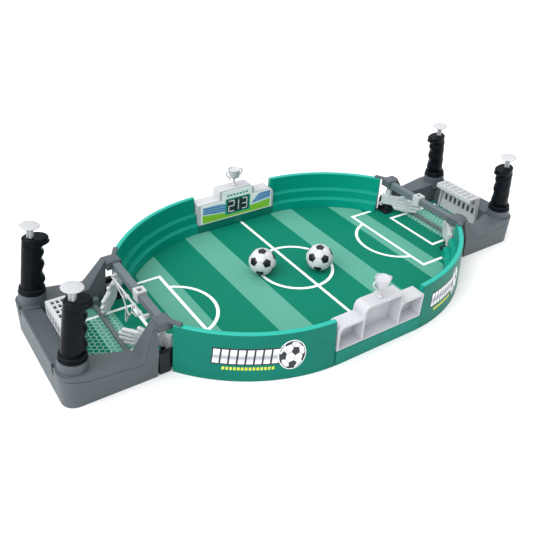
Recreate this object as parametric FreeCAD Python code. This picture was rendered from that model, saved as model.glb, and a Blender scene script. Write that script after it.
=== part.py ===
import FreeCAD, Part
import math
import os

# Tabletop football game: an oval walled pitch with a goal module at each end.
# Row frame in mm: +X along the pitch, +Y across it, +Z up. The origin is on the table under the centre.
# Everything is drawn for the +X end or the +X +Y quarter and mirrored to the other places.

V = FreeCAD.Vector
UP = V(0, 0, 1)
ALONG_X = V(1, 0, 0)
ALONG_Y = V(0, 1, 0)

# Arena
TRAY_TOP = 5.5
PITCH_TOP = 6.0
RIM_Z = 48.0
ARC_X = 44.0
ARC_Y = 32.0
RIM_R = 161.0
TRAY_R = 162.0
WALL_START_DEG = 2.8
WALL_END_DEG = 53.5
WALL_CAP_DEG = 0.8
TIER_Z = (17.0, 28.0)
TIER_R = (149.0, 153.0, 157.0)
SKIN = 2.0
EDGE = 0.8
PEG_DEG = (14.0, 42.0)
PEG_R = 156.5
TRAY_END = 190.0
STRIP_END = 253.6

# Scoreboards on the two long sides
SKIRT_HALF = 51.0
SKIRT_Y = 133.5
SKIRT_TOP = 15.0
BOARD_Y = (117.0, 132.5)
BOARD_SHOULDER_Z = 41.0
BOARD_TOP_Z = 52.0
BOARD_MIDDLE = 23.0
TROPHY_HEIGHT = 20.5

# End modules: U-shaped, open towards the pitch
MODULE_END = 270.5
MODULE_HALF = 66.0
MODULE_START = 186.0
CORNER_R = 12.0
SHELL = 2.4
THROAT_HALF = 50.0
POCKET_HALF = 43.5
GOAL_WALL_U = 250.0
REAR_WALL_TOP = 32.0
NOTCH_V = (41.0, 46.0)
SEAM = ((270.5, 28.8), (250.0, 23.0), (203.0, 18.3), (190.3, 44.6))
COVER_TOP = ((270.5, 31.8), (245.0, 30.5), (205.5, 24.3), (187.2, 50.0))
CAP_Z = (41.0, 50.0)
BAR_U = 177.5
BAR_SIDE = 6.6
BAR_HALF = 46.7
BAR_Z = (40.6, 47.6)
THRESHOLD_U = 203.0

# Handles and plungers, on axes that lean towards the pitch
HANDLE_U = 255.2
HANDLE_V = 51.5
HANDLE_Z = 40.2
LEAN_DEG = 6.6
HANDLE_LENGTH = 54.6
PRESS_TRAVEL = 9.0
DISC_R = 8.8
BOSS_HEIGHT = 16.0
STEM_R = 3.0
BORE_R = 3.3
SPRING_BORE_R = 5.6
SPIGOT_TOP = 10.0
COLLAR_S = 43.5

# Bell crank, link and hand
PIVOT_U = 177.0
PIVOT_V = 50.0
PIN_R = 1.5
RUNNING = 0.06
HAND_REST_DEG = 42.0
CRANK_R = 5.5
CRANK_PIN_R = 1.2
ROCKER_ARM = 9.0
ROCKER_RISE = 6.68
ROCKER_SWING_DEG = 30.0
ROCKER_Z = 10.2
PLUNGER_PIN_Z = ROCKER_Z + ROCKER_ARM * math.sin(math.radians(ROCKER_SWING_DEG))
PLUNGER_PIN_U = HANDLE_U + (HANDLE_Z - PLUNGER_PIN_Z) * math.tan(math.radians(LEAN_DEG))
ROCKER_U = PLUNGER_PIN_U - 0.7 - ROCKER_ARM * math.cos(math.radians(ROCKER_SWING_DEG))
LINK_Z = (15.2, 17.4)
LINK_V = (57.7, 59.7)
HAND_FLOOR = 17.8
HAND_THICKNESS = 5.0
SCREW_SPOTS = ((216.0, 53.9), (263.5, 40.5))
SCREW_R = 1.4
SCREW_SEAT_Z = 1.8
SCREW_TIP_Z = 18.0

BALL_R = 14.3
BALL_SPOTS = ((-32.0, 14.2), (25.2, -9.1))


def box(x0, x1, y0, y1, z0, z1):
    return Part.makeBox(x1 - x0, y1 - y0, z1 - z0, V(x0, y0, z0))


def rod(radius, start, end):
    line = V(*end) - V(*start)
    return Part.makeCylinder(radius, line.Length, V(*start), line)


def capsule(radius, start, end):
    body = rod(radius, start, end)
    return join(body, Part.makeSphere(radius, V(*start)), Part.makeSphere(radius, V(*end)))


def join(first, *others):
    return first.multiFuse(list(others)).removeSplitter()


def closed_face(points):
    vectors = [V(*p) for p in points]
    return Part.Face(Part.makePolygon(vectors + vectors[:1]))


def plan_prism(outline, z0, z1):
    return closed_face([(x, y, z0) for x, y in outline]).extrude(UP * (z1 - z0))


def side_prism(outline, y0, y1):
    return closed_face([(x, y0, z) for x, z in outline]).extrude(ALONG_Y * (y1 - y0))


def mirror_x(shape):
    return shape.mirror(V(0, 0, 0), ALONG_X)


def mirror_y(shape):
    return shape.mirror(V(0, 0, 0), ALONG_Y)


def both_sides(shape):
    return [shape, mirror_y(shape)]


def polar(angle_deg, radius):
    angle = math.radians(angle_deg)
    return ARC_X + radius * math.sin(angle), -ARC_Y + radius * math.cos(angle)


# Tray, pitch sheet and arena walls

def throat_outline(gap, end_u, start_u):
    """Half plan of the lane between the module's arms, as its +Y boundary."""
    return [(start_u, THROAT_HALF - gap), (206.0, THROAT_HALF - gap),
            (241.0, POCKET_HALF - gap), (end_u, POCKET_HALF - gap)]


def floor_plan(radius, skirt_y, inset, end_u, z0, z1):
    """Half of the arena floor, x >= 0, as a solid plate."""
    disc = Part.makeCylinder(radius, z1 - z0, V(ARC_X, -ARC_Y, z0))
    quarter = disc.common(box(inset, 175.0, 0, 140.0, z0, z1))
    side = box(inset, SKIRT_HALF - inset, 0, skirt_y, z0, z1)
    lane = [(inset, 0)] + [(inset, THROAT_HALF - inset)] + throat_outline(0.3 + inset, end_u, 170.0)
    lane.append((end_u, 0))
    quarter = join(quarter, side, plan_prism(lane, z0, z1))
    return join(quarter, mirror_y(quarter))


def tray():
    body = floor_plan(TRAY_R, SKIRT_Y, 0, STRIP_END, 0, TRAY_TOP)
    shelf = plan_prism([(150.0, 0), (TRAY_END, 0), (TRAY_END, 60.0), (173.4, 60.0), (165.5, 54.0),
                        (150.0, 54.0)], 0, TRAY_TOP)
    body = join(body, *both_sides(shelf))
    skirt = box(0, SKIRT_HALF, BOARD_Y[0] + 2.2, SKIRT_Y, TRAY_TOP, SKIRT_TOP)
    body = join(body, *both_sides(skirt))
    hollow = floor_plan(TRAY_R - 3.0, SKIRT_Y - 3.0, 3.0, STRIP_END - 3.0, -1.0, 3.0)
    ribs = [box(x - 1.2, x + 1.2, -130.0, 130.0, -1, 3) for x in (60.0, 120.0, 180.0)]
    ribs += [box(0, STRIP_END, y - 1.2, y + 1.2, -1, 3) for y in (-80.0, 0.0, 80.0)]
    pillars = [Part.makeCylinder(4.5, 4.0, V(*polar(a, PEG_R), -1)) for a in PEG_DEG]
    pillars.append(Part.makeCylinder(4.5, 4.0, V(PIVOT_U, PIVOT_V, -1)))
    pillars += [mirror_y(p) for p in pillars]
    body = body.cut(hollow.cut(ribs + pillars))
    skirt_hollow = box(2.5, SKIRT_HALF - 2.5, BOARD_Y[0] + 5.0, SKIRT_Y - 2.5, -1, SKIRT_TOP - 2.5)
    body = body.cut(both_sides(skirt_hollow))
    holes = [Part.makeCylinder(2.5, 5.0, V(*polar(a, PEG_R), 2.5)) for a in PEG_DEG]
    holes.append(Part.makeCylinder(PIN_R + 0.02, 5.0, V(PIVOT_U, PIVOT_V, 2.8)))
    holes.append(Part.makeCylinder(1.6, 5.0, V(GOAL_WALL_U + 1.0, 20.0, 2.4)))
    holes += [mirror_y(h) for h in holes]
    return body.cut(holes)


def pitch_sheet():
    half = floor_plan(TIER_R[0] - 0.2, BOARD_Y[0] - 0.8, 0, GOAL_WALL_U - 0.7, TRAY_TOP, PITCH_TOP)
    beside_boards = both_sides(box(-1, SKIRT_HALF + 0.5, BOARD_Y[0] - 0.8, 140.0, 0, 20.0))
    half = half.cut(beside_boards)
    pin_holes = both_sides(Part.makeCylinder(PIN_R + 0.3, 3.0, V(PIVOT_U, PIVOT_V, TRAY_TOP - 1)))
    half = half.cut(pin_holes)
    return join(half, mirror_x(half))


def wall_faces():
    """The hollow section of a wall and the solid section of its end plates, in radius and height."""
    r0, r1, r2 = TIER_R
    z1, z2 = TIER_Z
    outside = [(165.5, 0), (161.9, RIM_Z - 1.2), (RIM_R, RIM_Z), (r2 + EDGE, RIM_Z),
               (r2, RIM_Z - EDGE), (r2, z2 + EDGE), (r2 - EDGE, z2), (r1 + EDGE, z2), (r1, z2 - EDGE),
               (r1, z1 + EDGE), (r1 - EDGE, z1), (r0 + EDGE, z1), (r0, z1 - EDGE), (r0, TRAY_TOP)]
    inside = [(r0 + SKIN, TRAY_TOP), (r0 + SKIN, z1 - SKIN), (r1 + SKIN, z1 - SKIN),
              (r1 + SKIN, z2 - SKIN), (161.3, z2 - SKIN), (163.3, 0)]
    end_plate = [(163.0, TRAY_TOP), (163.3, 0)]
    return outside + inside, outside + end_plate


def wall():
    hollow_section, end_section = wall_faces()
    centre = V(ARC_X, -ARC_Y, 0)

    def swept(section, start_deg, end_deg):
        face = closed_face([(ARC_X + r, -ARC_Y, z) for r, z in section])
        face.rotate(centre, UP, 90.0 - end_deg)
        return face.revolve(centre, UP, end_deg - start_deg)

    body = swept(hollow_section, WALL_START_DEG, WALL_END_DEG)
    near = swept(end_section, WALL_START_DEG, WALL_START_DEG + WALL_CAP_DEG)
    far = swept(end_section, WALL_END_DEG - WALL_CAP_DEG, WALL_END_DEG)
    pegs = []
    for angle in PEG_DEG:
        x, y = polar(angle, PEG_R)
        pegs.append(Part.makeCylinder(3.4, 21.5, V(x, y, TRAY_TOP)))
        pegs.append(Part.makeCylinder(2.4, 4.0, V(x, y, 2.8)))
    return join(body, near, far, *pegs)


# Scoreboards

def rounded_top(half, z0, z1, radius):
    """Outline in x and z with a rounded left shoulder."""
    arc = [(-half + radius - radius * math.cos(math.radians(a)),
            z1 - radius + radius * math.sin(math.radians(a))) for a in range(0, 91, 15)]
    return [(-half, z0)] + arc + [(half, z1), (half, z0)]


def scoreboard():
    """Three cells open to the outside, behind an inner face board. Drawn for the +Y side."""
    y0, y1 = BOARD_Y
    wall_thickness = 2.0
    low = side_prism(rounded_top(SKIRT_HALF - 0.3, SKIRT_TOP, BOARD_SHOULDER_Z, 7.0), y0, y1)
    high = side_prism(rounded_top(BOARD_MIDDLE, SKIRT_TOP, BOARD_TOP_Z, 7.0), y0, y1)
    apron = box(-SKIRT_HALF + 0.3, SKIRT_HALF - 0.3, y0, y0 + 2.0, PITCH_TOP + 0.2, SKIRT_TOP + 1)
    body = join(low, high, apron)
    floor_z = SKIRT_TOP + wall_thickness
    middle = side_prism(rounded_top(BOARD_MIDDLE - wall_thickness, floor_z,
                                    BOARD_TOP_Z - wall_thickness, 5.0), y0 + 3.0, y1 + 1)
    side_half = (SKIRT_HALF - 0.3 - BOARD_MIDDLE - wall_thickness) / 2
    side_cell = side_prism(rounded_top(side_half, floor_z, BOARD_SHOULDER_Z - wall_thickness, 5.0),
                           y0 + 3.0, y1 + 1)
    offset = BOARD_MIDDLE + side_half
    cells = [middle]
    for direction in (-1, 1):
        cell = side_cell.copy()
        cell.translate(ALONG_X * offset * direction)
        cells.append(cell)
    socket = Part.makeCylinder(1.6, 4.0, V(0, (y0 + y1) / 2, BOARD_TOP_Z - 3))
    board = body.cut(cells + [socket])
    board.rotate(V(0, 0, 0), UP, 180)
    return board.mirror(V(0, 0, 0), ALONG_Y)


def score_label():
    """Printed card on the inner face of a scoreboard."""
    y1 = BOARD_Y[0]
    low = box(-47.5, 47.5, y1 - 0.6, y1, 16.5, 39.6)
    return join(low, box(-20.0, 20.0, y1 - 0.6, y1, 39.6, 50.4))


def trophy():
    """Small cup with two ears on a thin stem, with a peg in the scoreboard's roof."""
    profile = [(0, -2.5), (1.5, -2.5), (1.5, 0), (3.4, 0), (3.4, 1.2), (1.1, 2.2), (1.0, 7.5),
               (3.4, 9.0), (5.4, 11.5), (6.5, 15.5), (7.0, TROPHY_HEIGHT), (6.0, TROPHY_HEIGHT),
               (5.6, TROPHY_HEIGHT - 1.5), (0, TROPHY_HEIGHT - 1.5)]
    cup = closed_face([(r, 0, z) for r, z in profile]).revolve(V(0, 0, 0), UP, 360)
    ears = []
    for side in (-1, 1):
        ear = Part.makeTorus(3.5, 0.9, V(side * 6.7, 0, 15.4), ALONG_Y)
        ears.append(ear)
    core = Part.makeCone(3.0, 6.2, 11.0, V(0, 0, 9.0))
    whole = join(cup, *[ear.cut(core) for ear in ears])
    whole.translate(V(0, (BOARD_Y[0] + BOARD_Y[1]) / 2, BOARD_TOP_Z))
    return whole


# End modules

def module_block(inset, z0, z1):
    half = MODULE_HALF - inset
    block = box(MODULE_START + inset, MODULE_END - inset, -half, half, z0, z1)
    corners = [e for e in block.Edges if abs(e.BoundBox.XMin - (MODULE_END - inset)) < 0.01
               and e.BoundBox.ZLength > 1]
    return block.makeFillet(CORNER_R - inset, corners)


def lane_cut(gap, end_u, z0, z1):
    """The space between the arms, widened by gap, from the pitch to end_u."""
    edge = throat_outline(-gap, end_u, MODULE_START - 30)
    return plan_prism(edge + [(x, -y) for x, y in reversed(edge)], z0, z1)


def lean(shape):
    """Place a shape drawn along +Z from the origin on a handle's leaning axis."""
    shape.rotate(V(0, 0, 0), ALONG_Y, -LEAN_DEG)
    shape.translate(V(HANDLE_U, HANDLE_V, HANDLE_Z))
    return shape


def base_side():
    return [(191.0, 0), (MODULE_END, 0)] + list(SEAM) + [(186.4, SEAM[-1][1])]


def wing_bevels(inset):
    """Wedges that make the outer faces of the wings lean inwards as they rise."""
    outline = [(66.1, 24.0), (58.6, 50.5), (72.0, 50.5), (72.0, 24.0)]
    wedge = closed_face([(180.0, y - inset, z) for y, z in outline]).extrude(ALONG_X * 24.0)
    return both_sides(wedge)


def end_base():
    block = module_block(0, 0, 60).common(side_prism(base_side(), -70, 70))
    block = block.cut(lane_cut(0, GOAL_WALL_U + 4.0, -1, 70)).cut(wing_bevels(0))
    hollow = module_block(SHELL, SHELL, 60).cut(lane_cut(SHELL, GOAL_WALL_U + 4.0 + SHELL, -1, 70))
    hollow = hollow.cut(wing_bevels(SHELL))
    inner_end = side_prism([(180.0, -1), (193.2, -1), (188.4, 60), (180.0, 60)], -70, 70)
    base = block.cut(hollow.cut(inner_end))
    base = base.cut(box(GOAL_WALL_U - 1, MODULE_END - SHELL, -38.0, 38.0, 8.0, 60.0))
    rear_wall = box(MODULE_END - SHELL, MODULE_END, -NOTCH_V[0], NOTCH_V[0], 1.0, REAR_WALL_TOP)
    link_window = box(184.0, 196.0, LINK_V[0] - 0.7, LINK_V[1] + 0.7, LINK_Z[0] - 0.7, LINK_Z[1] + 0.7)
    extras = [rear_wall]
    cuts = both_sides(link_window)
    for u, v in SCREW_SPOTS:
        seat = Part.makeCylinder(4.2, 8.0, V(u, v, 0))
        bore = join(Part.makeCylinder(3.1, SCREW_SEAT_Z, V(u, v, 0)),
                    Part.makeCylinder(SCREW_R + 0.2, 10.0, V(u, v, 0)))
        extras += both_sides(seat)
        cuts += both_sides(bore)
    bracket = box(ROCKER_U - 4.5, ROCKER_U + 4.5, 60.6, 63.8, 1.0, ROCKER_Z + 4.0)
    extras += both_sides(bracket)
    axle_hole = rod(PIN_R + 0.02, (ROCKER_U, 43.0, ROCKER_Z), (ROCKER_U, 62.3, ROCKER_Z))
    cuts += both_sides(axle_hole)
    notch = box(MODULE_END - SHELL, MODULE_END + 1, *NOTCH_V, 22.0, 40.0)
    return join(base, *extras).cut(cuts + both_sides(notch))


def cover_side(drop):
    """Side outline of the cover; drop lowers its top to give the inside."""
    top = [(u, z - drop) for u, z in COVER_TOP]
    seam = [(u, z + 0.5) for u, z in SEAM]
    return seam + [(186.4, SEAM[-1][1] + 0.5), (186.4, COVER_TOP[-1][1] - drop)] + top[::-1]


def end_cover():
    shell = module_block(0.0, 0, 70).common(side_prism(cover_side(0), -70, 70)).cut(wing_bevels(0))
    hollow = module_block(SHELL, 0, 70).common(side_prism(cover_side(2.2), -70, 70))
    hollow = hollow.cut(lane_cut(SHELL, GOAL_WALL_U + 6.4, -1, 70)).cut(wing_bevels(SHELL))
    arms = shell.cut(lane_cut(0, GOAL_WALL_U + 4.0, -1, 70)).cut(hollow)
    arms = arms.cut(box(GOAL_WALL_U, MODULE_END + 1, -38.0, 38.0, 0, 60.0))
    rear_gap = box(MODULE_END - SHELL - 0.1, MODULE_END + 1, -NOTCH_V[1], NOTCH_V[1], 0, 60.0)
    deck = side_prism([(267.9, 31.6), (252.6, 28.0), (252.6, 8.2), (254.6, 8.2), (254.6, 26.2),
                       (267.9, 29.4)], -38.0, 38.0)
    boss = lean(Part.makeCylinder(12.3, BOSS_HEIGHT, V(0, 0, -BOSS_HEIGHT)))
    boss = boss.common(module_block(0.0, 0, 70))
    boss = boss.cut(side_prism(cover_side(0)[:4] + [(190, 0), (275, 0), (275, 28.9)], -70, 70))
    cap = box(171.8, 186.3, BAR_HALF + 0.1, 59.8, CAP_Z[0], CAP_Z[1])
    cap_edges = [e for e in cap.Edges if e.BoundBox.ZMin > CAP_Z[1] - 0.01]
    cap = cap.makeChamfer(1.2, cap_edges)
    cap_bridge = box(184.0, 187.2, 50.5, 59.0, 45.2, CAP_Z[1] - 1.2)
    rim_x, rim_y = polar(51.0, 159.5)
    tab = plan_prism([(172.0, 58.5), (176.8, 58.5), (rim_x + 2.4, rim_y + 1.6),
                      (rim_x - 1.8, rim_y - 0.8)], RIM_Z + 0.2, CAP_Z[1])
    extras = []
    cuts = [rear_gap]
    for part in (boss, cap, cap_bridge, tab):
        extras += both_sides(part)
    extras.append(deck)
    spigot = lean(Part.makeCylinder(5.4, 18.0, V(0, 0, SPIGOT_TOP - 18.0)))
    extras += both_sides(spigot)
    for u, v in SCREW_SPOTS:
        extras += both_sides(Part.makeCylinder(3.0, 19.0, V(u, v, 8.1)).common(side_prism(
            [(180, 0), (275, 0)] + [(u2, z2 - 0.3) for u2, z2 in COVER_TOP], -70, 70)))
        cuts += both_sides(Part.makeCylinder(SCREW_R + 0.02, 12.0, V(u, v, 7.0)))
    plunger_bore = lean(Part.makeCylinder(BORE_R, 60.0, V(0, 0, -35.0)))
    rocker_room = box(ROCKER_U - 7, ROCKER_U + 13, 44.0, 61.0, 0, 23.0)
    pin_socket = Part.makeCylinder(PIN_R + 0.02, 6.0, V(PIVOT_U, PIVOT_V, 38.4))
    tenon = box(BAR_U - 2.1, BAR_U + 2.1, 45.0, BAR_HALF + 1.3, BAR_Z[0] + 1.4, BAR_Z[1] - 1.4)
    for part in (plunger_bore, rocker_room, pin_socket, tenon):
        cuts += both_sides(part)
    return join(arms, *extras).cut(cuts)


def crossbar():
    half = BAR_SIDE / 2
    bar = box(BAR_U - half, BAR_U + half, -BAR_HALF, BAR_HALF, *BAR_Z)
    tenon = box(BAR_U - 2.0, BAR_U + 2.0, -BAR_HALF - 1.2, BAR_HALF + 1.2, BAR_Z[0] + 1.5, BAR_Z[1] - 1.5)
    return join(bar, tenon)


def crossbar_marker(y):
    """White sleeve that slides on the crossbar, with a square socket in its top."""
    half = BAR_SIDE / 2
    outer = box(BAR_U - half - 1.6, BAR_U + half + 1.6, y - 4.8, y + 4.8, BAR_Z[0] - 1.6, BAR_Z[1] + 2.4)
    inner = box(BAR_U - half - 0.05, BAR_U + half + 0.05, y - 6, y + 6, BAR_Z[0] - 0.05, BAR_Z[1] + 0.05)
    socket = box(BAR_U - 2.3, BAR_U + 2.3, y - 2.3, y + 2.3, BAR_Z[1] - 1, BAR_Z[1] + 4)
    return outer.cut([inner, socket])


def threshold_bar():
    bar = box(THRESHOLD_U - 2.0, THRESHOLD_U + 2.0, -49.0, 49.0, PITCH_TOP, PITCH_TOP + 3.4)
    lug = box(THRESHOLD_U - 4.6, THRESHOLD_U + 4.6, 43.5, 49.3, PITCH_TOP, PITCH_TOP + 9.0)
    return join(bar, *both_sides(lug))


def goal():
    """Back panel that narrows upwards and a roof over the lane, both pierced like a net."""
    foot, top = 30.5, 26.5
    roof_depth = 16.0
    roof_z = 43.0
    thickness = 1.8
    u0 = GOAL_WALL_U
    back = closed_face([(u0, -foot, PITCH_TOP), (u0, foot, PITCH_TOP), (u0, top, roof_z),
                        (u0, -top, roof_z)]).extrude(ALONG_X * thickness)
    roof = box(u0 - roof_depth, u0 + thickness, -top, top, roof_z - thickness, roof_z)
    lip = box(u0 - roof_depth, u0 - roof_depth + 1.4, -top, top, roof_z - 5.0, roof_z)
    cheeks = []
    for side in (-1, 1):
        cheek = closed_face([(u0 + 1, side * foot, PITCH_TOP), (u0 + 1, side * top, roof_z),
                             (u0 - 6.0, side * top, roof_z), (u0 - 2.0, side * foot, PITCH_TOP)])
        cheeks.append(cheek.extrude(ALONG_Y * -side * thickness))
    pegs = both_sides(Part.makeCylinder(1.5, 3.4, V(u0 + 1.0, 20.0, 2.7)))
    pegs += both_sides(box(u0, u0 + thickness, 18.0, 22.0, PITCH_TOP, PITCH_TOP + 2))
    body = join(back, roof, lip, *cheeks, *pegs)
    holes = []
    for column in range(7):
        y = -21.0 + 7.0 * column
        for row in range(3):
            u = u0 - 12.0 + 4.4 * row
            holes.append(box(u - 1.5, u + 1.5, y - 2.4, y + 2.4, roof_z - 3, roof_z + 1))
        for z0, z1 in ((18.0, 26.5), (29.5, 38.0)):
            holes.append(box(u0 - 1, u0 + 3, y - 1.9, y + 1.9, z0, z1))
    return body.cut(holes)


def net_trim():
    """Moulded rod and slack net strands on the goal side of one crossbar."""
    u = BAR_U + BAR_SIDE / 2 + 4.4
    top = 38.6
    strand = 0.75
    slack_lean = 0.12
    parts = [rod(1.1, (u, -37.0, top), (u, 36.0, top))]
    for y in (-35.5, 34.5):
        parts.append(box(BAR_U + BAR_SIDE / 2, u, y - 1.5, y + 1.5, top - 0.9, top + 3.5))
    for y in (8.0, -10.0, -24.0):
        parts.append(box(u - 0.9, u + 2.2, y - 2.4, y + 2.4, top - 1.9, top + 1.9))
    paths = [((33.0, top), (22.0, 35.6), (6.0, 29.5), (2.6, 11.0), (-1.8, 23.0), (-6.0, 30.0), (-10.0, top)),
             ((8.0, top), (4.5, 33.0), (-1.8, 23.0)),
             ((-6.0, 30.0), (-15.5, 29.4), (-24.0, top)),
             ((-15.5, 29.4), (-10.0, top))]
    for path in paths:
        for (y0, z0), (y1, z1) in zip(path, path[1:]):
            parts.append(capsule(strand, (u + slack_lean * (top - z0), y0, z0),
                                 (u + slack_lean * (top - z1), y1, z1)))
    return join(*parts)


def screws():
    group = []
    for u, v in SCREW_SPOTS:
        head = Part.makeCylinder(2.8, 1.5, V(u, v, 0.3))
        shank = Part.makeCylinder(SCREW_R, SCREW_TIP_Z - SCREW_SEAT_Z, V(u, v, SCREW_SEAT_Z))
        slot = box(u - 2.2, u + 2.2, v - 0.3, v + 0.3, 0, 0.9)
        cross = box(u - 0.3, u + 0.3, v - 2.2, v + 2.2, 0, 0.9)
        group += both_sides(join(head, shank).cut([slot, cross]))
    return Part.makeCompound(group)


def pivot_pins():
    hand_pin = rod(PIN_R, (PIVOT_U, PIVOT_V, 2.9), (PIVOT_U, PIVOT_V, 44.3))
    axle = rod(PIN_R, (ROCKER_U, 43.4, ROCKER_Z), (ROCKER_U, 62.2, ROCKER_Z))
    return Part.makeCompound(both_sides(hand_pin) + both_sides(axle))


# Moving parts of one quarter, +X and +Y

def handle():
    """Grip with finger hollows towards the pitch and a double collar at its foot."""
    width = 8.6
    front = ((4.6, 10.2), (8.2, 9.3), (13.9, 11.5), (20.8, 9.4), (27.8, 11.5), (34.2, 9.4),
             (39.8, 11.5), (44.0, 9.8), (47.6, 13.2), (50.2, 15.6))

    def section(s, reach, back, trim=0.0):
        centre = V((back - reach) / 2, 0, s)
        return Part.Wire([Part.Ellipse(centre, (back + reach) / 2 - trim, width - trim).toShape()])

    grip = Part.makeLoft([section(s, reach, 10.2 - 0.06 * s) for s, reach in front], True, False)
    plate_start, plate_reach = front[-1]
    plate_back = 10.2 - 0.06 * plate_start
    plate = Part.makeLoft([section(s, plate_reach, plate_back, trim)
                           for s, trim in ((plate_start, 0.0), (53.4, 0.0), (HANDLE_LENGTH, 1.2))], True, True)
    collars = []
    for s, radius in ((0.0, 11.9), (2.8, 11.5)):
        ring = Part.makeCylinder(radius, 2.2, V(0, 0, s))
        collars.append(ring.makeFillet(0.9, [e for e in ring.Edges if e.BoundBox.ZLength < 0.01]))
    core = Part.makeCylinder(10.7, 5.4, V(0, 0, 0.2))
    body = join(grip, plate, core, *collars)
    bore = Part.makeCylinder(SPRING_BORE_R, COLLAR_S + 3.0, V(0, 0, -1))
    return lean(body.cut([bore, Part.makeCylinder(BORE_R, 70.0, V(0, 0, -1))]))


def plunger():
    """Push button: a domed disc on a cross-ribbed stem, with a collar and a notched foot."""
    under = HANDLE_LENGTH + PRESS_TRAVEL + 0.3
    disc_profile = [(0, under), (3.0, under), (DISC_R - 0.6, under + 0.8), (DISC_R, under + 1.3),
                    (DISC_R - 0.4, under + 1.9), (4.0, under + 2.6), (0, under + 2.6)]
    disc = closed_face([(r, 0, z) for r, z in disc_profile]).revolve(V(0, 0, 0), UP, 360)
    ribs = [box(-STEM_R + 0.1, STEM_R - 0.1, -0.8, 0.8, COLLAR_S, under + 1),
            box(-0.8, 0.8, -STEM_R + 0.1, STEM_R - 0.1, COLLAR_S, under + 1)]
    collar = Part.makeCylinder(5.1, 1.6, V(0, 0, COLLAR_S))
    pin_s = -(HANDLE_Z - PLUNGER_PIN_Z) / math.cos(math.radians(LEAN_DEG))
    foot_s = pin_s - CRANK_PIN_R - 1.7
    stem = Part.makeCylinder(STEM_R, COLLAR_S - foot_s, V(0, 0, foot_s))
    notch = box(-5.0, 1.7, -4, 4, pin_s - 1.5, pin_s + 1.5)
    return lean(join(disc, stem, collar, *ribs).cut(notch))


def return_spring():
    """Compression coil between the cover's spigot and the plunger's collar."""
    wire_r = 0.45
    coil_r = 4.5
    bottom = SPIGOT_TOP + wire_r + 0.1
    height = COLLAR_S - SPIGOT_TOP - 2 * wire_r - 0.2
    helix = Part.makeHelix(height / 8, height, coil_r)
    start = Part.Wire([Part.makeCircle(wire_r, V(coil_r, 0, 0), ALONG_Y)])
    coil = Part.Wire(helix.Edges).makePipeShell([start], True, True)
    coil.translate(V(0, 0, bottom))
    return lean(coil)


def rocker():
    """Bell crank: two cheeks with a cross pin under the plunger, and a riser that pulls the link."""
    swing = math.radians(ROCKER_SWING_DEG)
    arm = (ROCKER_U + ROCKER_ARM * math.cos(swing), ROCKER_Z + ROCKER_ARM * math.sin(swing))
    riser = (ROCKER_U - ROCKER_RISE * math.sin(swing), ROCKER_Z + ROCKER_RISE * math.cos(swing))
    parts = [rod(3.2, (ROCKER_U, 46.1, ROCKER_Z), (ROCKER_U, 60.4, ROCKER_Z)),
             rod(CRANK_PIN_R, (arm[0], 46.3, arm[1]), (arm[0], 57.2, arm[1])),
             rod(1.0, (riser[0], 55.0, riser[1]), (riser[0], LINK_V[1] + 0.4, riser[1]))]

    def cheek(v0, v1, target, radius):
        across = V(target[0] - ROCKER_U, 0, target[1] - ROCKER_Z)
        side = V(-across.z, 0, across.x).normalize() * radius
        root = V(ROCKER_U, v0, ROCKER_Z)
        tip = root + across
        web = closed_face([root + side, tip + side, tip - side, root - side])
        return [web.extrude(ALONG_Y * (v1 - v0)), rod(radius, tip, tip + ALONG_Y * (v1 - v0))]

    parts += cheek(46.3, 48.1, arm, 1.7)
    parts += cheek(55.0, 57.2, arm, 1.7)
    parts += cheek(55.0, 57.2, riser, 1.7)
    bore = rod(PIN_R + RUNNING, (ROCKER_U, 40.0, ROCKER_Z), (ROCKER_U, 65.0, ROCKER_Z))
    return join(*parts).cut(bore)


def link():
    """Flat pull bar from the bell crank to the hand's crank pin."""
    swing = math.radians(ROCKER_SWING_DEG)
    rest_deg = math.radians(HAND_REST_DEG)
    riser_u = ROCKER_U - ROCKER_RISE * math.sin(swing)
    crank_u = PIVOT_U - CRANK_R * math.sin(rest_deg)
    bar = box(crank_u - 1.2, riser_u + 3.4, LINK_V[0], LINK_V[1], LINK_Z[0], LINK_Z[1])
    head = box(riser_u - 3.4, riser_u + 3.4, LINK_V[0], LINK_V[1], 13.6, 19.0)
    prongs = [box(crank_u - 3.0, crank_u - 1.5, 53.2, 58.3, LINK_Z[0], LINK_Z[1]),
              box(crank_u + 1.5, crank_u + 3.4, 53.2, 58.3, LINK_Z[0], LINK_Z[1]),
              box(crank_u - 3.0, crank_u + 3.4, 57.0, 58.3, LINK_Z[0], LINK_Z[1])]
    slot = box(riser_u - 1.2, riser_u + 1.2, 50, 65, 14.6, 18.2)
    return join(bar, head, *prongs).cut(slot)


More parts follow.
